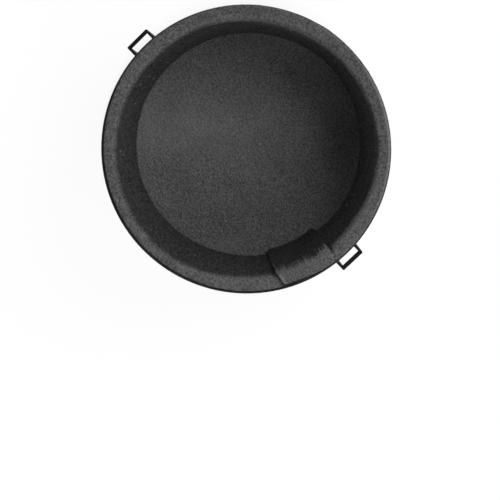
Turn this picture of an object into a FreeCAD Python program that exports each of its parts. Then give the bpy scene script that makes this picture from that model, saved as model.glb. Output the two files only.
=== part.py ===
import FreeCAD, Part
import os
import Sketcher

# Lens guard: a soft moulded cap with a felt lining, standing on its crown with the mouth up.
# Z is the axis of the cap, z = 0 is the face of the boss on the crown, and the strap loops lie on X.

SIZES = {
    # shell, outside
    "rim_diameter": 100.0,
    "skirt_height": 22.7,
    "skirt_draft": 3.7,
    "crown_rise": 7.3,
    "boss_diameter": 29.0,
    "boss_step": 0.5,
    "boss_round": 0.3,
    "shoulder_round": 2.0,
    # shell, inside
    "rim_wall": 3.4,
    "rim_round": 0.6,
    "floor_diameter": 84.0,
    "floor_above_shoulder": 2.0,
    "floor_round": 0.8,
    # strap loops
    "loop_width": 9.2,
    "loop_reach": 3.6,
    "loop_height": 6.7,
    "loop_below_rim": 0.9,
    "loop_tip_land": 0.7,
    "loop_tip_round": 0.45,
    "cheek_thickness": 0.8,
    "bar_thickness": 1.3,
    # felt disc on the floor
    "disc_thickness": 2.0,
    "disc_clearance": 0.1,
    # felt strip round the wall, with its lip and its lapped ends
    "strip_thickness": 2.1,
    "lip_gap": 1.5,
    "lip_thickness": 3.0,
    "lip_inset": 0.8,
    "lip_round": 1.35,
    "lip_bend": 2.2,
    "lip_root_round": 0.6,
    "lap_angle": 26.0,
    "lap_before_loop": 31.0,
    "lap_rise": 0.6,
    "lap_setback": 0.4,
    "lap_end_round": 0.5,
}

doc = FreeCAD.newDocument("lens_guard")
sheet = doc.addObject("Spreadsheet::Sheet", "sizes")
for row, (alias, value) in enumerate(SIZES.items(), start=1):
    sheet.set(f"A{row}", alias)
    sheet.set(f"B{row}", str(value))
    sheet.setAlias(f"B{row}", alias)
doc.recompute()

# How a sketch numbers its own axes and its origin.
LEVEL_AXIS = -1
UPRIGHT_AXIS = -2
SKETCH_ORIGIN = (-1, 1)
# Points nearer than this are one point.
SAME_PLACE = 1e-4
FULL_TURN = 360
HALF_TURN = 180
# How much of a wall its rounds may take, so that an edge is left on a thin one.
ONE_ROUND = 0.65
EACH_OF_TWO_ROUNDS = 0.45
ROOT_ROUND = 0.3
# Layers of felt on the wall. The lap's own section starts inside the layer below, so that the two join.
BARE, ONE_LAYER, TWO_LAYERS, INSIDE_LAYER = 0, 1, 2, 0.5

# Places that several pieces share, as expressions in the sheet's sizes.
ON_AXIS = "0"
RIM_RADIUS = "(sizes.rim_diameter / 2)"
RIM_HEIGHT = "(sizes.crown_rise + sizes.skirt_height)"
FLOOR_RADIUS = "(sizes.floor_diameter / 2)"
FLOOR_HEIGHT = "(sizes.crown_rise + sizes.floor_above_shoulder)"
RIM_BORE = f"({RIM_RADIUS} - sizes.rim_wall)"
CORE_SLOPE = f"(({RIM_BORE} - {FLOOR_RADIUS}) / ({RIM_HEIGHT} - {FLOOR_HEIGHT}))"
DISC_TOP = f"({FLOOR_HEIGHT} + sizes.disc_thickness)"
LIP_UNDERSIDE = f"({RIM_HEIGHT} + sizes.lip_gap)"
LIP_TOP = f"({LIP_UNDERSIDE} + sizes.lip_thickness)"
LIP_RADIUS = f"({RIM_RADIUS} - sizes.lip_inset)"


def skirt_radius(height):
    """Outside radius of the skirt at a height."""
    return f"({RIM_RADIUS} - ({RIM_HEIGHT} - {height}) * tan(sizes.skirt_draft))"


def lining_radius(layers, height):
    """Radius of the inside wall at a height, with a number of layers of felt on it."""
    wall = f"{FLOOR_RADIUS} + ({height} - {FLOOR_HEIGHT}) * {CORE_SLOPE}"
    return f"({wall} - {layers} * sizes.strip_thickness * sqrt(1 + {CORE_SLOPE} ^ 2))"


def new_body(name):
    body = doc.addObject("PartDesign::Body", name)
    body.Label = name
    body.Placement = FreeCAD.Placement()
    return body


def origin_part(body, role):
    return next(part for part in body.Origin.OriginFeatures if part.Role == role)


def outline(body, name, plane, corners):
    """A closed sketch of straight lines, whose named corners are pairs of expressions."""
    sketch = body.newObject("Sketcher::SketchObject", name)
    sketch.AttachmentSupport = [(origin_part(body, plane), "")]
    sketch.MapMode = "FlatFace"
    points = [FreeCAD.Vector(*map(sketch.evalExpression, corner), 0) for corner in corners.values()]
    lines = len(points)
    for line in range(lines):
        sketch.addGeometry(Part.LineSegment(points[line], points[(line + 1) % lines]))
    for line in range(lines):
        sketch.addConstraint(Sketcher.Constraint("Coincident", line, 2, (line + 1) % lines, 1))
    for line, (corner, (across, up)) in enumerate(corners.items()):
        place_corner(sketch, line, "DistanceX", UPRIGHT_AXIS, f"{corner}_across", across)
        place_corner(sketch, line, "DistanceY", LEVEL_AXIS, f"{corner}_up", up)
    return sketch


def place_corner(sketch, line, direction, axis, name, expression):
    """Ties a line's first point to the sketch's origin, or to its axis where the distance is nothing."""
    if expression == ON_AXIS:
        sketch.addConstraint(Sketcher.Constraint("PointOnObject", line, 1, axis))
        return
    distance = sketch.evalExpression(expression)
    number = sketch.addConstraint(Sketcher.Constraint(direction, *SKETCH_ORIGIN, line, 1, distance))
    sketch.renameConstraint(number, name)
    sketch.setExpression(f"Constraints.{name}", expression)


def revolve(body, name, sketch, angle=None):
    turned = body.newObject("PartDesign::Revolution", name)
    turned.Profile = sketch
    turned.ReferenceAxis = (sketch, ["V_Axis"])
    turned.Angle = FULL_TURN
    if angle:
        turned.setExpression("Angle", angle)
    doc.recompute()
    return turned


def ring_edges(feature, corner):
    """Names of the circular edges that a corner of a section makes when it is turned about Z."""
    place = FreeCAD.Vector(*map(feature.evalExpression, corner), 0)
    names = []
    for number, edge in enumerate(feature.Shape.Edges, start=1):
        if not isinstance(edge.Curve, Part.Circle):
            continue
        here = FreeCAD.Vector(edge.Curve.Radius, edge.Curve.Center.z, 0)
        if here.distanceToPoint(place) < SAME_PLACE:
            names.append(f"Edge{number}")
    return names


def tip_edges(feature, tip):
    """Names of the edges round the flat end that faces along X at a distance from the axis."""
    reach = feature.evalExpression(tip)
    names = []
    for number, edge in enumerate(feature.Shape.Edges, start=1):
        if all(abs(corner.X - reach) < SAME_PLACE for corner in edge.Vertexes):
            names.append(f"Edge{number}")
    return names


def fillet(body, name, base, edges, radius):
    rounded = body.newObject("PartDesign::Fillet", name)
    rounded.Base = (base, edges)
    rounded.setExpression("Radius", radius)
    doc.recompute()
    return rounded


def make_shell():
    """The moulded cap: a turned section with rounded edges."""
    body = new_body("shell")
    corners = {
        "boss_centre": (ON_AXIS, ON_AXIS),
        "boss": ("sizes.boss_diameter / 2", ON_AXIS),
        "boss_foot": ("sizes.boss_diameter / 2", "sizes.boss_step"),
        "shoulder": (skirt_radius("sizes.crown_rise"), "sizes.crown_rise"),
        "rim": (RIM_RADIUS, RIM_HEIGHT),
        "bore": (RIM_BORE, RIM_HEIGHT),
        "floor": (FLOOR_RADIUS, FLOOR_HEIGHT),
        "floor_centre": (ON_AXIS, FLOOR_HEIGHT),
    }
    section = outline(body, "shell_section", "XZ_Plane", corners)
    solid = revolve(body, "shell_turned", section)
    for corner, radius in [
        ("boss", "sizes.boss_round"),
        ("shoulder", "sizes.shoulder_round"),
        ("rim", "sizes.rim_round"),
        ("bore", "sizes.rim_round"),
        ("floor", "sizes.floor_round"),
    ]:
        solid = fillet(body, f"{corner}_fillet", solid, ring_edges(solid, corners[corner]), radius)
    return body


def make_loop(name, half_turns):
    """A loop for a strap: two cheeks and a bar, flat toward the mouth and sloping away to the skirt."""
    body = new_body(name)
    tip = f"({RIM_RADIUS} + sizes.loop_reach)"
    root = f"({RIM_RADIUS} - sizes.rim_wall / 2)"
    bar_inside = f"({tip} - sizes.bar_thickness)"
    half_width = "(sizes.loop_width / 2)"
    half_slot = f"({half_width} - sizes.cheek_thickness)"
    top = f"({RIM_HEIGHT} - sizes.loop_below_rim)"
    land = f"({top} - sizes.loop_tip_land)"
    bottom = f"({top} - sizes.loop_height)"
    plan = outline(body, "loop_plan", "XY_Plane", {
        "near_root": (root, f"-{half_width}"),
        "near_tip": (tip, f"-{half_width}"),
        "far_tip": (tip, half_width),
        "far_root": (root, half_width),
        "far_slot_root": (root, half_slot),
        "far_slot": (bar_inside, half_slot),
        "near_slot": (bar_inside, f"-{half_slot}"),
        "near_slot_root": (root, f"-{half_slot}"),
    })
    plan.setExpression("AttachmentOffset.Base.z", top)
    block = body.newObject("PartDesign::Pad", "loop_block")
    block.Profile = plan
    block.Reversed = True
    block.setExpression("Length", "sizes.loop_height")
    doc.recompute()
    volume_before = block.Shape.Volume

    beyond_tip = f"({tip} + sizes.loop_reach)"
    below = f"({bottom} - sizes.loop_height)"
    slope = outline(body, "loop_slope", "XZ_Plane", {
        "tip": (tip, land),
        "skirt": (skirt_radius(bottom), bottom),
        "below_skirt": (skirt_radius(bottom), below),
        "below_tip": (beyond_tip, below),
        "beyond_tip": (beyond_tip, land),
    })
    sloped = body.newObject("PartDesign::Pocket", "loop_underside")
    sloped.Profile = slope
    sloped.Type = "ThroughAll"
    sloped.Midplane = True
    doc.recompute()
    if sloped.Shape.Volume >= volume_before:
        raise RuntimeError("the slope under the strap loop cut nothing")

    thinnest = "min(sizes.loop_tip_land; sizes.cheek_thickness)"
    tip_round = f"min(sizes.loop_tip_round; {ONE_ROUND} * {thinnest})"
    rounded = fillet(body, "loop_tip_fillet", sloped, tip_edges(sloped, tip), tip_round)

    above = f"({RIM_HEIGHT} + sizes.loop_height)"
    skirt = outline(body, "skirt_section", "XZ_Plane", {
        "lower_centre": (ON_AXIS, below),
        "lower_edge": (skirt_radius(below), below),
        "upper_edge": (skirt_radius(above), above),
        "upper_centre": (ON_AXIS, above),
    })
    trimmed = body.newObject("PartDesign::Groove", "skirt_side")
    trimmed.Profile = skirt
    trimmed.ReferenceAxis = (skirt, ["V_Axis"])
    trimmed.Angle = FULL_TURN
    doc.recompute()
    if trimmed.Shape.Volume >= rounded.Shape.Volume:
        raise RuntimeError("the skirt cut nothing off the strap loop")
    body.Placement = FreeCAD.Placement(
        FreeCAD.Vector(), FreeCAD.Rotation(FreeCAD.Vector(0, 0, 1), HALF_TURN * half_turns))
    return body


def make_floor_lining():
    """The felt disc that lies on the floor, inside the round of the shell's corner."""
    body = new_body("floor_lining")
    radius = f"({FLOOR_RADIUS} - sizes.floor_round - sizes.disc_clearance)"
    section = outline(body, "disc_section", "XZ_Plane", {
        "lower_centre": (ON_AXIS, FLOOR_HEIGHT),
        "lower_edge": (radius, FLOOR_HEIGHT),
        "upper_edge": (radius, DISC_TOP),
        "upper_centre": (ON_AXIS, DISC_TOP),
    })
    revolve(body, "disc_turned", section)
    return body


def make_wall_lining():
    """The felt strip: it stands on the disc, lies on the wall and turns out over the rim as a lip."""
    body = new_body("wall_lining")
    corners = {
        "foot": (lining_radius(ONE_LAYER, DISC_TOP), DISC_TOP),
        "heel": (lining_radius(BARE, DISC_TOP), DISC_TOP),
        "root": (lining_radius(BARE, LIP_UNDERSIDE), LIP_UNDERSIDE),
        "lower": (LIP_RADIUS, LIP_UNDERSIDE),
        "upper": (LIP_RADIUS, LIP_TOP),
        "bend": (lining_radius(ONE_LAYER, LIP_TOP), LIP_TOP),
    }
    section = outline(body, "strip_section", "XZ_Plane", corners)
    lip_width = f"({LIP_RADIUS} - {lining_radius(ONE_LAYER, LIP_TOP)})"
    overhang = f"({LIP_RADIUS} - {lining_radius(BARE, LIP_UNDERSIDE)})"
    lip_limit = f"min({EACH_OF_TWO_ROUNDS} * sizes.lip_thickness; {ONE_ROUND} * {overhang})"
    lip_round = f"min(sizes.lip_round; {lip_limit})"
    solid = revolve(body, "strip_turned", section)
    for corner, radius in [
        ("bend", f"min(sizes.lip_bend; {lip_width} - {lip_round})"),
        ("upper", lip_round),
        ("lower", lip_round),
        ("root", f"min(sizes.lip_root_round; {ROOT_ROUND} * {overhang})"),
    ]:
        solid = fillet(body, f"{corner}_fillet", solid, ring_edges(solid, corners[corner]), radius)
    add_lap(body)
    return body


def add_lap(body):
    """The end of the strip that lies over the other end, from the floor up and out over the lip."""
    lap_top = f"({LIP_TOP} + sizes.lap_rise)"
    lap_end = f"({LIP_RADIUS} - sizes.lap_setback)"
    inside_lip = f"({LIP_TOP} - sizes.lip_thickness / 2)"
    corners = {
        "foot": (lining_radius(TWO_LAYERS, DISC_TOP), DISC_TOP),
        "heel": (lining_radius(INSIDE_LAYER, DISC_TOP), DISC_TOP),
        "root": (lining_radius(INSIDE_LAYER, inside_lip), inside_lip),
        "lower": (lap_end, inside_lip),
        "upper": (lap_end, lap_top),
        "bend": (lining_radius(TWO_LAYERS, lap_top), lap_top),
    }
    section = outline(body, "lap_section", "XZ_Plane", corners)
    clockwise = FreeCAD.Rotation(FreeCAD.Vector(0, -1, 0), 1)
    section.AttachmentOffset = FreeCAD.Placement(FreeCAD.Vector(), clockwise)
    section.setExpression("AttachmentOffset.Rotation.Angle", "sizes.lap_before_loop")
    lap = revolve(body, "lap_turned", section, "sizes.lap_angle")
    lap = fillet(body, "lap_bend_fillet", lap, ring_edges(lap, corners["bend"]), "sizes.lip_bend")
    end_round = "min(sizes.lap_end_round; sizes.lap_rise)"
    fillet(body, "lap_end_fillet", lap, ring_edges(lap, corners["upper"]), end_round)


bodies = [
    make_shell(),
    make_loop("strap_loop_right", 0),
    make_loop("strap_loop_left", 1),
    make_floor_lining(),
    make_wall_lining(),
]
doc.recompute()

for item in doc.Objects:
    if "Invalid" in item.State or "Error" in item.State:
        raise RuntimeError(f"{item.Name} failed: {item.State}")
for body in bodies:
    if body.Shape.isNull() or not body.Shape.isValid() or len(body.Shape.Solids) != 1:
        raise RuntimeError(f"{body.Label} is not one sound solid")

os.makedirs("parts", exist_ok=True)
for body in bodies:
    body.Shape.exportStep(f"parts/{body.Label}.step")
    print(body.Label, round(body.Shape.Volume), body.Shape.BoundBox)
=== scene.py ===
import math

import bmesh
import bpy
from mathutils import Matrix, Vector, noise


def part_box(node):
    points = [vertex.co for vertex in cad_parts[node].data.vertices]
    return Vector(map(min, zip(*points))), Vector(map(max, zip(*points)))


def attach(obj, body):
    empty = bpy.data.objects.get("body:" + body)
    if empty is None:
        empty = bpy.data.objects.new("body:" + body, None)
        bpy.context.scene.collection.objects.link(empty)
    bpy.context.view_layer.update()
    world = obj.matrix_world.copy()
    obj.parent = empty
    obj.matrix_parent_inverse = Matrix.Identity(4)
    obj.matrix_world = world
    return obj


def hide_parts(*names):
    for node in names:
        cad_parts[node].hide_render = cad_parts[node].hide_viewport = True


# Lens guard: a soft moulded cap with a felt lining, seen straight into its mouth.
# The shell and its strap loops are the frame's own solids with a matt rubber on them.
# The felt disc and the felt strip with its lapped ends are modelled here in place of the frame's linings.
# Sizes of the felt are in millimetres and angles in degrees round Z, from the loop on +X.

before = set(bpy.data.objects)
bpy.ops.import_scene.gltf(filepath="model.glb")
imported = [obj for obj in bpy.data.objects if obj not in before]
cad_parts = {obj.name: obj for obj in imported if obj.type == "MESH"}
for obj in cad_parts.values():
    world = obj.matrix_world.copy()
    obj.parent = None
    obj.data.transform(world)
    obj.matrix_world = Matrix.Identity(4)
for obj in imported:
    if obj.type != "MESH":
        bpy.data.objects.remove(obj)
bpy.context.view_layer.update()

MM = 0.001
RIGHT_ANGLE = 90
HALF_TURN = 180
FULL_TURN = 360

# Heights and the disc's radius, as the frame gives them.
FLOOR_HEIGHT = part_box("floor_lining")[0].z / MM
DISC_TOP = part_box("floor_lining")[1].z / MM
DISC_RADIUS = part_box("floor_lining")[1].x / MM
RIM_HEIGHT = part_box("shell")[1].z / MM
LAP_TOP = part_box("wall_lining")[1].z / MM
LOOP_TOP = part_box("strap_loop_right")[1].z / MM

# The bare inside wall of the shell.
FLOOR_RADIUS = 42.0
RIM_BORE = 46.6
WALL_SLOPE = (RIM_BORE - FLOOR_RADIUS) / (RIM_HEIGHT - FLOOR_HEIGHT)
WALL_LENGTH = math.hypot(1, WALL_SLOPE)

# The felt strip and its lip, with the rounds at the lip's bend, edge and root and at the strip's foot.
STRIP_THICKNESS = 2.1
LAP_RISE = 0.6
LIP_TOP = LAP_TOP - LAP_RISE
LIP_THICKNESS = 3.0
LIP_UNDERSIDE = LIP_TOP - LIP_THICKNESS
LIP_RADIUS = 49.1
LIP_BEND = 1.1
LIP_EDGE = 0.8
# The round of the edge takes at most this share of the lip's thickness.
LIP_EDGE_SHARE = 0.45
LIP_ROOT = 0.6
FOOT_ROUND = 0.45
# How far the strip's foot stands off the bare wall.
FOOT_IN = 0.75
# The photograph's right and up lie this far round from +X and +Y.
VIEW_TURN = 45.8
# On the side at the photograph's left the felt is folded this much further in.
FOLDED_IN = 0.6
# The lip sits off centre on the rim: by how much, and toward which angle.
LIP_SHIFT = 1.0
LIP_SHIFT_ANGLE = 106.0

# The lapped ends: the free end lies on top, and the hidden end, pressed thinner, stops under it.
FREE_END = -31.0
LAP_STEP = -6.2
LAP_STEP_END = -4.6
UNDER_FREE_END = FULL_TURN + FREE_END
UNDER_TAPER_END = UNDER_FREE_END + 4
HIDDEN_END = 352.0
PRESSED = 1.2
END_ROUND = 0.8
# Both ends of the lap slant: how far round they lie at the floor, at the bend and at the lip's edge.
FREE_END_SLANT = (-2.8, 1.5, 3.4)
LAP_STEP_SLANT = (-0.5, 2.1, 0.2)
SLANT_FADE = (-4.0, 8.0)
# The lip falls short at the free end by this much, which fades between these angles.
LAP_SHORT = 0.8
LAP_SHORT_FADE = (FREE_END + 8, LAP_STEP)
# The crease at the step deepens between two heights, and flattens by a share between two radii.
CREASE_DEPTH = 0.5
CREASE_WIDTH = 0.45
CREASE_RISE = (23.0, 31.0)
CREASE_FLATTER = 0.7
CREASE_FLATTENS = (LIP_RADIUS - 5.0, LIP_RADIUS - 2.5)

# Unevenness of the felt and of the edge of its painted light: how far, about how wide, and its start in the
# noise.
FELT_UNEVEN = [(0.11, 7.0), (0.07, 2.3, (31, 7, 3)), (0.05, 0.85, (5, 17, 43))]
DISC_SWELL = (0.08, 22.0)
LIP_WAVE = (0.16, 17.0, (3, 9, 27))
PAINTED_LIGHT_WANDER = (0.3, 4.0)
LAP_STREAKS = [(1.0, 0.8, (0, 0, 9)), (0.7, 2.2)]
# The lip's waves grow between these heights.
WAVE_RISE = (20.0, LIP_TOP)
# The felt rolls out below the lip and in below that: height, reach up and down, and how far.
ROLLS = [(LIP_TOP - 1.8, 1.3, 0.3), (LIP_TOP - 5.0, 1.2, -0.2)]
# The rolls end between these radii.
ROLL_ENDS = (LIP_RADIUS - 3.2, LIP_RADIUS - 0.8)

# The lip is painted light in to an edge this far inside its bend, which is soft by the fade each way; below
# the edge the wall is left in painted shade.
PAINTED_LIGHT_WIDTH = 0.7
PAINTED_LIGHT_FADE = 0.75
PAINTED_LIGHT_MOST = 0.82
# On the lap that edge lies further out by this much, and is softer by this share.
LAP_PAINTED_LIGHT_OUT = 0.3
LAP_PAINTED_LIGHT_SOFTER = 0.7
# The lip's outer side is left in painted shade again between these depths below its top.
PAINTED_SHADE_SIDE = (0.15, 0.6)
# This much of the painted light is taken out in the crease, as painted shade.
CREASE_PAINTED_SHADE = 0.9

# Rows of these lists: about which angle, how far to each side of it, and how much.
# The edge of the painted light lies further out, or further in.
PAINTED_LIGHT_DRIFT = [
    (-11.5, 7.0, 0.75),
    (12.0, 14.0, -0.4),
    (58.0, 24.0, 0.7),
    (118.0, 20.0, -0.5),
    (156.0, 10.0, 0.4),
    (264.0, 26.0, 0.2),
]
# The edge of the painted light is crisper, or softer.
PAINTED_LIGHT_CRISP = [(26.0, 36.0, 0.5), (118.0, 26.0, -0.9)]
# The lip has less painted light, all of it or its outer half.
PAINTED_LIGHT_LESS = [(60.0, 50.0, 0.15)]
OUTER_PAINTED_LIGHT_LESS = [(134.0, 40.0, 0.16)]
# The lip's edge has a thin painted highlight line, and its bend has painted light.
LIGHT_LINE = [(54.0, 30.0, 1.0)]
PAINTED_LIGHT_BEND = [(20.0, 16.0, 0.5)]
# The strip's foot lies further in, or further out.
FOOT_DRIFT = [(12.0, 9.0, 0.25), (88.0, 24.0, -0.62), (178.0, 18.0, 0.22), (250.0, 12.0, -0.18)]

# The outer half of the lip starts between these distances from where the painted light starts.
OUTER_HALF = (1.2, 3.0)
# Places on the lip, as shares of the way from its bend to its edge.
SIDE_STARTS = (0.3, 0.6)
CREASE_ENDS = (0.1, 0.5)
FRAYED_LIP_PAINTED_HIGHLIGHT_STARTS = (0.1, 0.4)
LIGHT_LINE_PLACE = 0.86
LIGHT_LINE_WIDTH = 0.07
# The place of the painted light on the bend, outside the bend's corner, and its width.
PAINTED_LIGHT_BEND_OUT = 0.3
PAINTED_LIGHT_BEND_WIDTH = 0.6
# The free end is frayed, with painted light on its cut face, which lies in shade, and a painted highlight
# along its lip: how much on its cut face, and how far from the end on the face and on the lip.
CUT_FACE_FRAYED_PAINTED_LIGHT = 0.35
CUT_FACE_DEPTH = (0.1, 0.5)
FRAYED_LIP_PAINTED_HIGHLIGHT_DEPTH = (0.7, 1.5)

# A long soft pool of painted light lies on the disc: its middle, the way it runs, its reach and how much.
PAINTED_POOL_MIDDLE = Vector((-17.3, -8.3))
PAINTED_POOL_TURN = math.radians(41.0)
PAINTED_POOL_LENGTH = 28.0
PAINTED_POOL_WIDTH = 11.0
PAINTED_POOL_MOST = 0.39
# The disc is painted light, its middle only this share as much as its rim, and the painted light grows
# between these radii.
DISC_MIDDLE_PAINTED_LIGHT = 0.89
PAINTED_LIGHT_RING = (27.0, 36.0)
# At one spot beside the wall a painted shadow falls on it: the spot, its reach and how much less painted
# light it has.
PAINTED_SHADOW_SPOT = Vector((25.4, 32.2))
PAINTED_SHADOW_REACH = 9.0
PAINTED_SHADOW_MOST = 0.42

# Steps of the strip's mesh along its length, finer on the lap and a little past it.
COLUMN_STEP = 0.55
LAP_COLUMN_STEP = 0.22
FINE_UNTIL = LAP_STEP_END + 2
# Steps of its section: foot, wall, bend, top, edge, underside, root and back.
FOOT_STEPS = 4
WALL_STEPS = 36
BEND_STEPS = 9
TOP_STEPS = 7
EDGE_STEPS = 6
UNDERSIDE_STEPS = 2
ROOT_STEPS = 3
BACK_STEPS = 8
# The step of the disc's mesh, in millimetres.
DISC_STEP = 0.6

# Keys of the strip along its length: angle, depth of its back from the bare wall at the floor
# and at the lip, thickness, and heights of the lip's underside and top.
STRIP_KEYS = [
    (FREE_END, FOOT_IN + 1.7, 2.8, STRIP_THICKNESS, LIP_TOP - 0.8, LAP_TOP),
    (FREE_END + 4, FOOT_IN + 1.75, 2.8, STRIP_THICKNESS, LIP_TOP - 1.6, LAP_TOP),
    (FREE_END + 13, FOOT_IN + 1.95, 2.9, STRIP_THICKNESS, LIP_TOP - 1.7, LAP_TOP - 0.1),
    (LAP_STEP, FOOT_IN + 2.4, 3.1, STRIP_THICKNESS, LIP_TOP - 1.9, LIP_TOP + 0.3),
    (LAP_STEP_END, FOOT_IN + 0.45, 0.7, STRIP_THICKNESS, LIP_UNDERSIDE, LIP_TOP),
    (LAP_STEP_END + 16, FOOT_IN, 0.7, STRIP_THICKNESS, LIP_UNDERSIDE, LIP_TOP),
    (LAP_STEP_END + 36, FOOT_IN, 0.0, STRIP_THICKNESS, LIP_UNDERSIDE, LIP_TOP),
    (UNDER_FREE_END - 43, FOOT_IN, 0.0, STRIP_THICKNESS, LIP_UNDERSIDE, LIP_TOP),
    (UNDER_FREE_END - 13, FOOT_IN, 1.1, STRIP_THICKNESS, LIP_UNDERSIDE, LIP_TOP),
    (UNDER_FREE_END - 1.5, FOOT_IN, 1.1, STRIP_THICKNESS, LIP_UNDERSIDE, LIP_TOP),
    (UNDER_FREE_END, FOOT_IN, 0.9, STRIP_THICKNESS - 0.2, LIP_UNDERSIDE - 0.3, LIP_TOP - 0.3),
    (UNDER_TAPER_END, FOOT_IN, 0.0, PRESSED, RIM_HEIGHT + 0.2, LIP_TOP - 2.0),
    (HIDDEN_END, FOOT_IN, 0.0, PRESSED, RIM_HEIGHT + 0.2, LIP_TOP - 2.0),
]


def ease(value, start, end):
    """Goes smoothly from 0 at start to 1 at end."""
    share = min(max((value - start) / (end - start), 0.0), 1.0)
    return share * share * (3 - 2 * share)


def hump(value, centre, width):
    """A smooth hump, 1 at its centre."""
    return math.exp(-((value - centre) / width) ** 2)


def humps(value, rows):
    """The sum of several humps, each with a centre, a width and a height."""
    return sum(much * hump(value, centre, width) for centre, width, much in rows)


def uneven(place, height, width, start=(0, 0, 0)):
    """Smooth random unevenness at a place."""
    return height * noise.noise(place / width + Vector(start))


def wall_radius(depth, height):
    """Radius at a height, at a depth of felt measured square to the bare wall."""
    return FLOOR_RADIUS + (height - FLOOR_HEIGHT) * WALL_SLOPE - depth * WALL_LENGTH


def felt_height(place):
    """How far the felt stands proud at a place, in millimetres."""
    return sum(uneven(place, *layer) for layer in FELT_UNEVEN)


def strip_values(angle):
    """The strip's key values at an angle along it."""
    for (before, *old), (after, *new) in zip(STRIP_KEYS, STRIP_KEYS[1:]):
        if angle <= after:
            share = ease(angle, before, after)
            return [a + (b - a) * share for a, b in zip(old, new)]
    return STRIP_KEYS[-1][1:]


def arc(centre, radius, start, end, steps):
    """Points of an arc in the section, from one angle to another."""
    turns = [math.radians(start + (end - start) * step / steps) for step in range(steps + 1)]
    return [(centre[0] + radius * math.cos(a), centre[1] + radius * math.sin(a)) for a in turns]


def line(start, end, steps):
    """Points between two points of the section, without its ends."""
    return [tuple(a + (b - a) * step / steps for a, b in zip(start, end)) for step in range(1, steps)]


def strip_section(low, high, thickness, underside, top, radius, pinch):
    """Section of the strip: what shows, from the floor up and out over the lip, and what is behind."""
    foot = DISC_TOP + pinch
    top = top - pinch
    underside = underside + pinch
    radius = radius - pinch
    face_foot = wall_radius(low + thickness - pinch, foot)
    face_top = wall_radius(high + thickness - pinch, top)
    back_foot = wall_radius(low + pinch, foot)
    back_top = wall_radius(high + pinch, underside)
    lean = math.degrees(math.atan((face_top - face_foot) / (top - foot)))
    toward_axis = HALF_TURN - lean
    tangent = 1 / math.tan(math.radians((RIGHT_ANGLE + lean) / 2))
    edge = min(LIP_EDGE, LIP_EDGE_SHARE * (top - underside))
    upper = (radius - edge, top - edge)
    lower = (radius - edge, underside + edge)
    bend = (face_top + tangent * LIP_BEND, top - LIP_BEND)
    root = (back_top + tangent * LIP_ROOT, underside - LIP_ROOT)
    toe = (face_foot + FOOT_ROUND, foot + FOOT_ROUND)
    heel = (back_foot, foot)

    shown = arc(toe, FOOT_ROUND, FULL_TURN - RIGHT_ANGLE, toward_axis, FOOT_STEPS)
    over = arc(bend, LIP_BEND, toward_axis, RIGHT_ANGLE, BEND_STEPS)
    shown += line(shown[-1], over[0], WALL_STEPS) + over
    shown += line((bend[0], top), (upper[0], top), TOP_STEPS)
    shown += arc(upper, edge, RIGHT_ANGLE, 0, EDGE_STEPS)
    shown += arc(lower, edge, 0, -RIGHT_ANGLE, EDGE_STEPS)
    behind = arc(root, LIP_ROOT, RIGHT_ANGLE, toward_axis, ROOT_STEPS)
    hidden = line(shown[-1], behind[0], UNDERSIDE_STEPS) + behind
    hidden += line(behind[-1], heel, BACK_STEPS) + [heel]
    return shown, hidden


def strip_angles():
    """Angles of the strip's columns, closer together over the lap."""
    angles = [FREE_END]
    while angles[-1] < HIDDEN_END:
        step = LAP_COLUMN_STEP if angles[-1] < FINE_UNTIL else COLUMN_STEP
        angles.append(angles[-1] + step)
    return angles


def lap_share(angle):
    """1 on the lap and 0 elsewhere."""
    return 1 - ease(angle, LAP_STEP, LAP_STEP_END)


def lip_radius(angle):
    """How far out the lip reaches, a little less on the lap's free end."""
    short = LAP_SHORT * (1 - ease(angle, *LAP_SHORT_FADE))
    return LIP_RADIUS + LIP_SHIFT * math.cos(math.radians(angle - LIP_SHIFT_ANGLE)) - short


def painted_light_share(angle, radius, inside):
    """How much painted light the felt has: all of the lip, in to a soft uneven edge about this radius, with
    painted shade below it.
    """
    lapped = lap_share(angle)
    turn = math.radians(angle)
    place = Vector((math.cos(turn), math.sin(turn), 0)) * LIP_RADIUS
    streaks = sum(uneven(place, *layer) for layer in LAP_STREAKS)
    edge = inside + uneven(place, *PAINTED_LIGHT_WANDER) + humps(angle, PAINTED_LIGHT_DRIFT)
    edge += lapped * (streaks + LAP_PAINTED_LIGHT_OUT)
    fade = PAINTED_LIGHT_FADE * (1 + LAP_PAINTED_LIGHT_SOFTER * lapped) * (1 - humps(angle, PAINTED_LIGHT_CRISP))
    outer = ease(radius, inside + OUTER_HALF[0], inside + OUTER_HALF[1])
    less = humps(angle, PAINTED_LIGHT_LESS) + humps(angle, OUTER_PAINTED_LIGHT_LESS) * outer
    return ease(radius, edge - fade, edge + fade) * (PAINTED_LIGHT_MOST - less)


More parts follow.
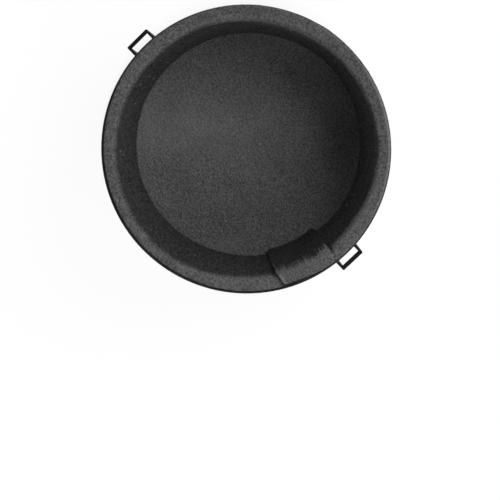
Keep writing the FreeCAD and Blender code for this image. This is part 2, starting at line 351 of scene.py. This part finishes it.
def strip_looks(angle, from_end, corner, inside, radius, out, below):
    """How much painted light, fraying with painted light, and painted shade on the lap the strip has at a
    place of its section.
    """
    # Painted shade down the lip's outer side.
    side = ease(out, *SIDE_STARTS) * ease(below, *PAINTED_SHADE_SIDE)
    # Painted shade in the crease's recess, and under the lap where the hidden end is covered.
    recess = hump(angle, LAP_STEP_END, CREASE_WIDTH) * (1 - ease(out, *CREASE_ENDS))
    covered = ease(angle, UNDER_FREE_END, UNDER_TAPER_END)
    outside_painted_shade = (1 - side) * (1 - CREASE_PAINTED_SHADE * recess) * (1 - covered)
    # Painted light on the lip, with painted shade where it is left out.
    painted_light = painted_light_share(angle, radius, inside) * outside_painted_shade
    if angle < 0:
        # Frayed fibres with painted light on the shaded cut face, and a painted highlight along the lip at
        # the free end.
        cut_face = CUT_FACE_FRAYED_PAINTED_LIGHT * (1 - ease(from_end, *CUT_FACE_DEPTH))
        lip_end = ease(out, *FRAYED_LIP_PAINTED_HIGHLIGHT_STARTS) * (1 - ease(from_end, *FRAYED_LIP_PAINTED_HIGHLIGHT_DEPTH))
        frayed_and_painted_light = max(cut_face, lip_end)
    else:
        # A painted highlight along the lip's outer edge.
        light_line = hump(out, LIGHT_LINE_PLACE, LIGHT_LINE_WIDTH) * humps(angle, LIGHT_LINE) * (1 - side)
        # Painted light on the bend, which turns away from the light.
        painted_light_bend = humps(angle, PAINTED_LIGHT_BEND) * hump(radius, corner + PAINTED_LIGHT_BEND_OUT, PAINTED_LIGHT_BEND_WIDTH)
        frayed_and_painted_light = max(light_line, painted_light_bend)
    # The lap's share also gives the painted shade on its face.
    return painted_light, frayed_and_painted_light, lap_share(angle)


def strip_lift(angle, place):
    """How far the strip's face stands proud: its pile, waves and rolls, less the crease at the step."""
    radius = place.xy.length
    height = place.z
    inner = 1 - ease(radius, *ROLL_ENDS)
    wave = uneven(place, *LIP_WAVE) * ease(height, *WAVE_RISE)
    crease = CREASE_DEPTH * hump(angle, LAP_STEP_END, CREASE_WIDTH) * ease(height, *CREASE_RISE)
    crease *= 1 - CREASE_FLATTER * ease(radius, *CREASE_FLATTENS)
    return felt_height(place) + wave + humps(height, ROLLS) * inner - crease


def felt_strip():
    """The strip with its lip, swept from its free end over the lap and round to its hidden end."""
    mesh = bmesh.new()
    layers = [mesh.verts.layers.float.new(name) for name in ("painted_light", "frayed_and_painted_light", "lap_painted_shade")]
    rings = []
    for angle in strip_angles():
        from_end = min(angle - FREE_END, max(HIDDEN_END - angle, 0)) * math.radians(1) * LIP_RADIUS
        pinch = END_ROUND * (1 - math.sqrt(1 - (1 - min(from_end / END_ROUND, 1)) ** 2))
        low, high, thickness, underside, top = strip_values(angle)
        low += humps(angle, FOOT_DRIFT)
        folded = FOLDED_IN * ease(-math.cos(math.radians(angle - VIEW_TURN)), 0, 1)
        high += folded
        edge = lip_radius(angle)
        shown, hidden = strip_section(low, high, thickness, underside, top, edge, pinch)
        corner = wall_radius(high + thickness, top)
        inside = corner - PAINTED_LIGHT_WIDTH + folded
        askew = 1 - ease(angle, *SLANT_FADE)
        along = ease(angle, FREE_END, LAP_STEP)
        slants = [a + (b - a) * along for a, b in zip(FREE_END_SLANT, LAP_STEP_SLANT)]
        at_floor, at_bend, at_edge = slants
        ring = []
        for radius, height in shown + hidden:
            rise = min((height - DISC_TOP) / (LIP_TOP - DISC_TOP), 1)
            out = min(max((radius - corner) / (edge - corner), 0), 1)
            slant = at_floor + (at_bend - at_floor) * rise + (at_edge - at_bend) * out
            turn = math.radians(angle + slant * askew)
            vertex = mesh.verts.new((radius * math.cos(turn), radius * math.sin(turn), height))
            looks = strip_looks(angle, from_end, corner, inside, radius, out, top - height)
            for layer, share in zip(layers, looks):
                vertex[layer] = share
            ring.append(vertex)
        rings.append((angle, ring, len(shown)))
    for (_, ring, _), (_, following, _) in zip(rings, rings[1:]):
        for number in range(len(ring)):
            after = (number + 1) % len(ring)
            mesh.faces.new((ring[number], ring[after], following[after], following[number]))
    mesh.faces.new(reversed(rings[0][1]))
    mesh.faces.new(rings[-1][1])
    mesh.normal_update()
    moves = []
    for angle, ring, count in rings:
        for vertex in ring[:count]:
            moves.append((vertex, vertex.co + vertex.normal * strip_lift(angle, vertex.co)))
    for vertex, place in moves:
        vertex.co = place
    return piece("felt_strip", mesh)


def disc_painted_light(place):
    """How much painted light the disc has at a place, less a painted shadow beside the wall."""
    ring = DISC_MIDDLE_PAINTED_LIGHT + (1 - DISC_MIDDLE_PAINTED_LIGHT) * ease(place.xy.length, *PAINTED_LIGHT_RING)
    # A painted shadow beside the wall.
    near = hump((place.xy - PAINTED_SHADOW_SPOT).length, 0, PAINTED_SHADOW_REACH)
    return ring - PAINTED_SHADOW_MOST * near


def disc_painted_light_pool(place):
    """How much of the painted pool of light the disc has at a place."""
    way = Vector((math.cos(PAINTED_POOL_TURN), math.sin(PAINTED_POOL_TURN)))
    away = place.xy - PAINTED_POOL_MIDDLE
    return PAINTED_POOL_MOST * hump(away.dot(way), 0, PAINTED_POOL_LENGTH) * hump(away.cross(way), 0, PAINTED_POOL_WIDTH)


def felt_disc():
    """The disc on the floor: a fine grid pressed into a circle, with an upright edge and a flat back."""
    rows = round(2 * DISC_RADIUS / DISC_STEP)
    mesh = bmesh.new()
    painted_light = mesh.verts.layers.float.new("painted_light")
    frayed_and_painted_light = mesh.verts.layers.float.new("frayed_and_painted_light")
    grid = []
    for row in range(rows + 1):
        v = 2 * row / rows - 1
        for column in range(rows + 1):
            u = 2 * column / rows - 1
            x = u * math.sqrt(1 - v * v / 2)
            y = v * math.sqrt(1 - u * u / 2)
            place = Vector((x * DISC_RADIUS, y * DISC_RADIUS, DISC_TOP))
            place.z += felt_height(place) + uneven(place, *DISC_SWELL)
            vertex = mesh.verts.new(place)
            # Painted light on the disc, with a painted shadow beside the wall.
            vertex[painted_light] = disc_painted_light(place)
            # A painted pool of light on the disc.
            vertex[frayed_and_painted_light] = disc_painted_light_pool(place)
            grid.append(vertex)
    side = rows + 1
    for row in range(rows):
        for column in range(rows):
            first = row * side + column
            mesh.faces.new((grid[first], grid[first + 1], grid[first + side + 1], grid[first + side]))
    border = [edge for edge in mesh.edges if edge.is_boundary]
    skirt = bmesh.ops.extrude_edge_only(mesh, edges=border)["geom"]
    for vertex in (item for item in skirt if isinstance(item, bmesh.types.BMVert)):
        vertex.co.z = FLOOR_HEIGHT
    bmesh.ops.holes_fill(mesh, edges=[edge for edge in mesh.edges if edge.is_boundary])
    bmesh.ops.recalc_face_normals(mesh, faces=mesh.faces)
    return piece("felt_disc", mesh)


def piece(name, mesh):
    """Makes an object of a mesh in millimetres."""
    bmesh.ops.scale(mesh, vec=(MM, MM, MM), verts=mesh.verts)
    data = bpy.data.meshes.new(name)
    mesh.to_mesh(data)
    mesh.free()
    data.shade_smooth()
    made = bpy.data.objects.new(name, data)
    bpy.context.scene.collection.objects.link(made)
    return made


# The sockets of the mix node that are for colours.
MIX_FIRST = 6
MIX_SECOND = 7
MIX_RESULT = 2

WHITE = (1, 1, 1, 1)


class Nodes:
    """A material's nodes, with a place in millimetres to start from."""

    def __init__(self, name, start=(0.0, 0.0, 0.0)):
        self.material = bpy.data.materials.new(name)
        self.material.use_nodes = True
        self.tree = self.material.node_tree
        self.shader = self.tree.nodes["Principled BSDF"]
        where = self.add("ShaderNodeTexCoord").outputs["Object"]
        whole = self.add("ShaderNodeVectorMath", operation="MULTIPLY_ADD")
        for socket, value in zip(whole.inputs, [where, (1 / MM, 1 / MM, 1 / MM), start]):
            self.set(socket, value)
        self.place = whole.outputs[0]

    def add(self, kind, **settings):
        """Adds a node. Names in lower case are its own settings, and names with a capital its inputs."""
        node = self.tree.nodes.new(kind)
        for name, value in settings.items():
            if name.islower():
                setattr(node, name, value)
            else:
                self.set(node.inputs[name.replace("_", " ")], value)
        return node

    def set(self, socket, value):
        """Links an output to a socket, or gives the socket a value."""
        if isinstance(value, bpy.types.NodeSocket):
            self.tree.links.new(value, socket)
        else:
            socket.default_value = value

    def noise(self, size, detail=3.0, roughness=0.55, distortion=0.0, kind="FBM"):
        """Noise whose features are about this many millimetres across."""
        node = self.add("ShaderNodeTexNoise", noise_type=kind, Vector=self.place, Scale=1 / size)
        for name, value in [("Detail", detail), ("Roughness", roughness), ("Distortion", distortion)]:
            self.set(node.inputs[name], value)
        return node.outputs["Fac"]

    def ramp(self, value, low, high, start=0.0, end=1.0):
        """Takes low..high to start..end."""
        node = self.add("ShaderNodeMapRange", Value=value)
        for name, number in [("From Min", low), ("From Max", high), ("To Min", start), ("To Max", end)]:
            self.set(node.inputs[name], number)
        return node.outputs[0]

    def math(self, operation, first, second):
        """One sum, product or other operation on two values."""
        node = self.add("ShaderNodeMath", operation=operation)
        self.set(node.inputs[0], first)
        self.set(node.inputs[1], second)
        return node.outputs[0]

    def blend(self, share, first, second):
        """Goes from the first colour to the second as the share goes from 0 to 1."""
        node = self.add("ShaderNodeMix", data_type="RGBA")
        self.set(node.inputs["Factor"], share)
        self.set(node.inputs[MIX_FIRST], first)
        self.set(node.inputs[MIX_SECOND], second)
        return node.outputs[MIX_RESULT]

    def finish(self, colour, roughness, height, depth):
        """Joins colour, roughness and a bump of a depth in millimetres to the shader."""
        bump = self.add("ShaderNodeBump", Height=height, Distance=depth * MM, Strength=1.0)
        self.set(self.shader.inputs["Base Color"], colour)
        self.set(self.shader.inputs["Roughness"], roughness)
        self.set(self.shader.inputs["Normal"], bump.outputs["Normal"])
        return self.material


def grey(level):
    """Linear grey, with alpha, that shows as this level of 255 by the sRGB curve."""
    share = level / 255
    linear = ((share + 0.055) / 1.055) ** 2.4 if share > 0.04045 else share / 12.92
    return (linear, linear, linear, 1.0)


# The grain starts this far from the axis, because the noise has a straight seam at its own middle.
GRAIN_START = (137.0, 71.0, 43.0)
# The pile on the wall is combed upright, so its grain is longer upward by the last number's inverse.
COMBED = (1.0, 1.0, 0.5)
# Sizes of the felt's grain, fibres and clouds, and the spacing of its specks.
FELT_GRAIN = 0.62
FELT_FIBRES = 1.9
FELT_CLOUDS = 10.0
SPECK_SPACING = 3.6
# Levels of grey of the felt in painted shade, as on its walls, and in painted light, as on its lip and
# floor, at the grain's low and high.
FELT_PAINTED_SHADE = (23, 50)
FELT_PAINTED_LIGHT = (60, 103)
DARK_GRAIN = (0.37, 0.63)
LIGHT_GRAIN = (0.32, 0.68)
# Levels of the painted shade on the lap's face, of frayed felt and painted light, of clouds and of specks,
# and the most that is blended in.
LAP_PAINTED_SHADE_GREY = 20
LAP_PAINTED_SHADE_MOST = 0.4
FRAYED_AND_PAINTED_LIGHT_GREY = 122
FRAYED_AND_PAINTED_LIGHT_MOST = 0.6
CLOUD_GREY = 50
CLOUD_MOST = 0.25
CLOUD_RANGE = (0.4, 0.75)
SPECK_GREY = 116
# A speck fades out between these shares of the spacing from its middle, and few of the places have one.
SPECK_FADE = (0.05, 0.12)
SPECK_CHOICE = (0.63, 0.67)
# The felt's shine and roughness, and its bump: the depth in millimetres, and what grain and fibres add.
FELT_SHINE = 0.02
FELT_ROUGHNESS = (0.88, 1.0)
ROUGH_GRAIN = (0.2, 0.8)
FELT_BUMP = 0.35
GRAIN_BUMP = 0.8
FIBRE_BUMP = 0.12


def felt_material():
    """Dark pressed felt: matted fibres, painted light on the lip and floor against painted shade on the
    walls, and odd specks of lint.
    """
    felt = Nodes("pressed_felt", GRAIN_START)
    specks = felt.add("ShaderNodeTexVoronoi", feature="F1", Vector=felt.place, Scale=1 / SPECK_SPACING)
    combed = felt.add("ShaderNodeVectorMath", operation="MULTIPLY")
    felt.set(combed.inputs[0], felt.place)
    felt.set(combed.inputs[1], COMBED)
    felt.place = combed.outputs[0]
    painted_light = felt.add("ShaderNodeAttribute", attribute_name="painted_light").outputs["Fac"]
    frayed_and_painted_light = felt.add("ShaderNodeAttribute", attribute_name="frayed_and_painted_light").outputs["Fac"]
    lap_painted_shade = felt.add("ShaderNodeAttribute", attribute_name="lap_painted_shade").outputs["Fac"]
    grain = felt.noise(FELT_GRAIN, detail=2, roughness=0.6)
    fibres = felt.noise(FELT_FIBRES, detail=5, roughness=0.65, distortion=1.6, kind="RIDGED_MULTIFRACTAL")
    clouds = felt.noise(FELT_CLOUDS, detail=3)
    # A shaded and a lit copy of the one felt, as painted shade and painted light, chosen by the attribute
    # that holds the painted light.
    dark = felt.blend(felt.ramp(grain, *DARK_GRAIN), *map(grey, FELT_PAINTED_SHADE))
    # Painted shade on the lap's face.
    dark = felt.blend(felt.math("MULTIPLY", lap_painted_shade, LAP_PAINTED_SHADE_MOST), dark, grey(LAP_PAINTED_SHADE_GREY))
    light = felt.blend(felt.ramp(grain, *LIGHT_GRAIN), *map(grey, FELT_PAINTED_LIGHT))
    colour = felt.blend(painted_light, dark, light)
    # Frayed felt, painted highlights, painted light on the bend and the disc's painted pool of light.
    colour = felt.blend(felt.math("MULTIPLY", frayed_and_painted_light, FRAYED_AND_PAINTED_LIGHT_MOST), colour, grey(FRAYED_AND_PAINTED_LIGHT_GREY))
    colour = felt.blend(felt.ramp(clouds, *CLOUD_RANGE, 0.0, CLOUD_MOST), colour, grey(CLOUD_GREY))
    near = felt.ramp(specks.outputs["Distance"], *SPECK_FADE, 1.0, 0.0)
    some = felt.ramp(specks.outputs["Color"], *SPECK_CHOICE)
    colour = felt.blend(felt.math("MULTIPLY", near, some), colour, grey(SPECK_GREY))
    grain_height = felt.math("MULTIPLY", grain, GRAIN_BUMP)
    height = felt.math("ADD", grain_height, felt.math("MULTIPLY", fibres, FIBRE_BUMP))
    felt.shader.inputs["Specular IOR Level"].default_value = FELT_SHINE
    return felt.finish(colour, felt.ramp(grain, *ROUGH_GRAIN, *FELT_ROUGHNESS), height, FELT_BUMP)


# Heights on the shell: the rounded shoulder of the crown, with a painted highlight in a thin broken line
# along it, and the boss.
SHOULDER_HEIGHT = 7.7
SHOULDER_HIGHLIGHT_REACH = 0.9
BOSS_STEP = 0.35
# Sizes of the rubber's grain, clouds and patches.
RUBBER_GRAIN = 0.55
RUBBER_CLOUDS = 6.0
RUBBER_PATCHES = 23.0
# The middle of a noise, where most of its values lie.
MIDDLE = (0.3, 0.7)
# Levels of grey of the rubber and of what is blended into it, with the most and the noise's range for it.
RUBBER_GREYS = (61, 73)
PATCH_GREY = 78
PATCH_MOST = 0.4
PATCH_RANGE = (0.4, 0.75)
GRAIN_GREY = 47
GRAIN_MOST = 0.45
GRAIN_RANGE = (0.35, 0.7)
SHOULDER_HIGHLIGHT_GREY = 104
SHOULDER_HIGHLIGHT_SHARES = (0.2, 0.7)
SHOULDER_HIGHLIGHT_RANGE = (0.4, 0.65)
BOSS_GREY = 112
BOSS_MOST = 0.6
EDGE_PAINTED_SHADE_GREY = 10
EDGE_PAINTED_SHADE_MOST = 0.92
# The heights of the painted highlight line and of the painted shade at the edge wander by this much each
# way.
HEIGHT_WANDER = 0.3
RUBBER_ROUGHNESS = (0.52, 0.68)
RUBBER_BUMP = 0.05


def rubber_material(name, edge_height, edge_depth, shine):
    """Moulded matt rubber with a fine grain: painted shade at its top edge, and a painted highlight along
    the crown's shoulder.
    """
    rubber = Nodes(name, GRAIN_START)
    grain = rubber.noise(RUBBER_GRAIN, detail=2)
    clouds = rubber.noise(RUBBER_CLOUDS, detail=4, roughness=0.6)
    patches = rubber.noise(RUBBER_PATCHES, detail=2)
    colour = rubber.blend(rubber.ramp(clouds, *MIDDLE), *map(grey, RUBBER_GREYS))
    colour = rubber.blend(rubber.ramp(patches, *PATCH_RANGE, 0.0, PATCH_MOST), colour, grey(PATCH_GREY))
    colour = rubber.blend(rubber.ramp(grain, *GRAIN_RANGE, 0.0, GRAIN_MOST), colour, grey(GRAIN_GREY))
    upright = rubber.add("ShaderNodeSeparateXYZ", Vector=rubber.place).outputs["Z"]
    level = rubber.math("SUBTRACT", upright, GRAIN_START[2])
    wander = rubber.ramp(clouds, *MIDDLE, -HEIGHT_WANDER, HEIGHT_WANDER)
    height = rubber.math("SUBTRACT", level, wander)
    # A painted highlight in a thin broken line along the shoulder.
    above = rubber.ramp(height, SHOULDER_HEIGHT - SHOULDER_HIGHLIGHT_REACH, SHOULDER_HEIGHT)
    below = rubber.ramp(height, SHOULDER_HEIGHT, SHOULDER_HEIGHT + SHOULDER_HIGHLIGHT_REACH, 1.0, 0.0)
    band = rubber.math("MULTIPLY", above, below)
    shoulder_highlight = rubber.math("MULTIPLY", band, rubber.ramp(clouds, *SHOULDER_HIGHLIGHT_RANGE, *SHOULDER_HIGHLIGHT_SHARES))
    colour = rubber.blend(shoulder_highlight, colour, grey(SHOULDER_HIGHLIGHT_GREY))
    colour = rubber.blend(rubber.ramp(level, 0.0, BOSS_STEP, BOSS_MOST, 0.0), colour, grey(BOSS_GREY))
    # Painted shade at the top edge of the rim and of the loops.
    edge_painted_shade = rubber.ramp(height, edge_height - edge_depth, edge_height, 0.0, EDGE_PAINTED_SHADE_MOST)
    colour = rubber.blend(edge_painted_shade, colour, grey(EDGE_PAINTED_SHADE_GREY))
    rubber.shader.inputs["Specular IOR Level"].default_value = shine
    return rubber.finish(colour, rubber.ramp(clouds, *MIDDLE, *RUBBER_ROUGHNESS), grain, RUBBER_BUMP)


# White paper: the size of its flecks, their levels of grey, how rough and how deep.
PAPER_FLECK = 3.0
PAPER_GREYS = (246, 250)
PAPER_ROUGHNESS = (0.8, 0.9)
PAPER_BUMP = 0.02
# The paper shows its shadow near the object and glows white further off: radii, and shares of the glow.
GLOW_RANGE = (43.0, 54.0)
GLOW_SHARES = (0.3, 0.93)


def floor_material():
    """Plain white paper that the camera sees as white, with the object's shadow on it."""
    paper = Nodes("white_paper")
    fleck = paper.noise(PAPER_FLECK)
    colour = paper.blend(paper.ramp(fleck, *MIDDLE), *map(grey, PAPER_GREYS))
    paper.finish(colour, paper.ramp(fleck, *MIDDLE, *PAPER_ROUGHNESS), fleck, PAPER_BUMP)
    path = paper.add("ShaderNodeLightPath").outputs
    seen = paper.math("MAXIMUM", path["Is Camera Ray"], path["Is Glossy Ray"])
    seen = paper.math("MAXIMUM", seen, path["Is Transmission Ray"])
    away = paper.add("ShaderNodeVectorMath", operation="LENGTH", Vector=paper.place).outputs["Value"]
    glow = paper.add("ShaderNodeEmission", Color=WHITE, Strength=1.0)
    share = paper.math("MULTIPLY", seen, paper.ramp(away, *GLOW_RANGE, *GLOW_SHARES))
    mix = paper.add("ShaderNodeMixShader", Fac=share)
    paper.set(mix.inputs[1], paper.shader.outputs[0])
    paper.set(mix.inputs[2], glow.outputs[0])
    output = next(node for node in paper.tree.nodes if node.type == "OUTPUT_MATERIAL")
    paper.set(output.inputs["Surface"], mix.outputs[0])
    return paper.material


# The photograph's view: its right and up, where the mouth's middle lies in it, and the camera's place.
RIGHT = Vector((math.cos(math.radians(VIEW_TURN)), math.sin(math.radians(VIEW_TURN)), 0))
UP = Vector((-RIGHT.y, RIGHT.x, 0))
IMAGE_SIZE = 500
MOUTH_PIXEL = (245.1, 152.6)
PIXELS_PER_MM = 2.905
CAMERA_DISTANCE = 600.0
LEAN_UP = math.radians(6.3)
LEAN_RIGHT = math.radians(2.5)
SENSOR = 36.0
# The nearest and furthest that the camera sees, in metres.
CLIP_START = 0.01
CLIP_END = 10.0


def add_camera():
    """A camera above the mouth, a little up the picture and right of the axis."""
    target = Vector((0, 0, LIP_TOP)) * MM
    back = Vector((0, 0, 1)) + UP * math.tan(LEAN_UP) + RIGHT * math.tan(LEAN_RIGHT)
    back.normalize()
    focal = PIXELS_PER_MM * (CAMERA_DISTANCE + LIP_TOP - RIM_HEIGHT)
    camera = bpy.data.objects.new("camera", bpy.data.cameras.new("camera"))
    camera.data.sensor_width = SENSOR
    camera.data.lens = focal / IMAGE_SIZE * SENSOR
    camera.data.clip_start = CLIP_START
    camera.data.clip_end = CLIP_END
    across = UP.cross(back).normalized()
    over = back.cross(across)
    facing = Matrix((across, over, back)).transposed()
    centre = IMAGE_SIZE / 2
    seen = Vector(((MOUTH_PIXEL[0] - centre) / focal, (centre - MOUTH_PIXEL[1]) / focal, -1))
    aim = seen.rotation_difference(Vector((0, 0, -1))).to_matrix()
    place = Matrix.Translation(target + back * CAMERA_DISTANCE * MM)
    camera.matrix_world = place @ (facing @ aim).to_4x4()
    bpy.context.scene.collection.objects.link(camera)
    bpy.context.scene.camera = camera


# Soft lights: how far round from the picture's right, how high, how wide in metres, and how bright.
# The brightness is the share of full exposure that the light gives a level surface.
LIGHTS = {
    "upper_softbox": (36.0, 29.0, 1.40, 0.69),
    "lower_softbox": (-48.0, 25.0, 1.25, 0.32),
    "upper_left_softbox": (138.0, 18.0, 0.80, 0.14),
    "lower_left_softbox": (235.0, 13.0, 0.80, 0.10),
}
LIGHT_DISTANCE = 1.5
FILL = 0.12


def add_lights():
    """Two broad soft lights at the right of the picture, and two weak ones at its left."""
    for name, (turn, height, size, share) in LIGHTS.items():
        turn = math.radians(turn)
        height = math.radians(height)
        level = RIGHT * math.cos(turn) + UP * math.sin(turn)
        way = level * math.cos(height) + Vector((0, 0, math.sin(height)))
        light = bpy.data.lights.new(name, "AREA")
        light.shape = "DISK"
        light.size = size
        light.energy = share * (math.pi * LIGHT_DISTANCE) ** 2 / math.sin(height)
        lamp = bpy.data.objects.new(name, light)
        lamp.location = Vector((0, 0, LIP_TOP * MM)) + way * LIGHT_DISTANCE
        lamp.rotation_mode = "QUATERNION"
        lamp.rotation_quaternion = way.to_track_quat("Z", "Y")
        bpy.context.scene.collection.objects.link(lamp)


def add_world():
    """A weak even light from all round, which the camera and reflections see as plain white."""
    world = bpy.data.worlds.new("studio")
    bpy.context.scene.world = world
    world.use_nodes = True
    nodes = world.node_tree.nodes
    links = world.node_tree.links
    fill = nodes["Background"]
    fill.inputs["Color"].default_value = WHITE
    fill.inputs["Strength"].default_value = FILL
    white = nodes.new("ShaderNodeBackground")
    white.inputs["Color"].default_value = WHITE
    path = nodes.new("ShaderNodeLightPath")
    seen = path.outputs["Is Camera Ray"]
    for ray in ["Is Glossy Ray", "Is Transmission Ray"]:
        either = nodes.new("ShaderNodeMath")
        either.operation = "MAXIMUM"
        links.new(seen, either.inputs[0])
        links.new(path.outputs[ray], either.inputs[1])
        seen = either.outputs[0]
    mix = nodes.new("ShaderNodeMixShader")
    links.new(seen, mix.inputs["Fac"])
    links.new(fill.outputs[0], mix.inputs[1])
    links.new(white.outputs[0], mix.inputs[2])
    links.new(mix.outputs[0], nodes["World Output"].inputs["Surface"])


# How far the floor reaches each way, in metres.
FLOOR_REACH = 3.0


def add_floor():
    """A wide sheet of white paper for the object to lie on."""
    data = bpy.data.meshes.new("floor")
    corners = [(x * FLOOR_REACH, y * FLOOR_REACH, 0) for x, y in [(-1, -1), (1, -1), (1, 1), (-1, 1)]]
    data.from_pydata(corners, [], [(0, 1, 2, 3)])
    floor = bpy.data.objects.new("floor", data)
    bpy.context.scene.collection.objects.link(floor)
    data.materials.append(floor_material())


# How deep the painted shade goes below the top of the shell and of the loops, and how much they shine.
RIM_PAINTED_SHADE_DEPTH = 0.9
LOOP_PAINTED_SHADE_DEPTH = 3.0
RIM_SHINE = 0.10
LOOP_SHINE = 0.05

bpy.context.scene.view_settings.view_transform = "Standard"
add_camera()
add_lights()
add_world()
add_floor()

shell_rubber = rubber_material("moulded_rubber", RIM_HEIGHT, RIM_PAINTED_SHADE_DEPTH, RIM_SHINE)
loop_rubber = rubber_material("rubber_with_painted_shade", LOOP_TOP, LOOP_PAINTED_SHADE_DEPTH, LOOP_SHINE)
for name, rubber in [
    ("shell", shell_rubber),
    ("strap_loop_right", loop_rubber),
    ("strap_loop_left", loop_rubber),
]:
    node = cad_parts[name]
    node.data.materials.clear()
    node.data.materials.append(rubber)

felt = felt_material()
disc = felt_disc()
strip = felt_strip()
for lining, node in [(disc, "floor_lining"), (strip, "wall_lining")]:
    lining.data.materials.append(felt)
    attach(lining, "root")
    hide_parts(node)
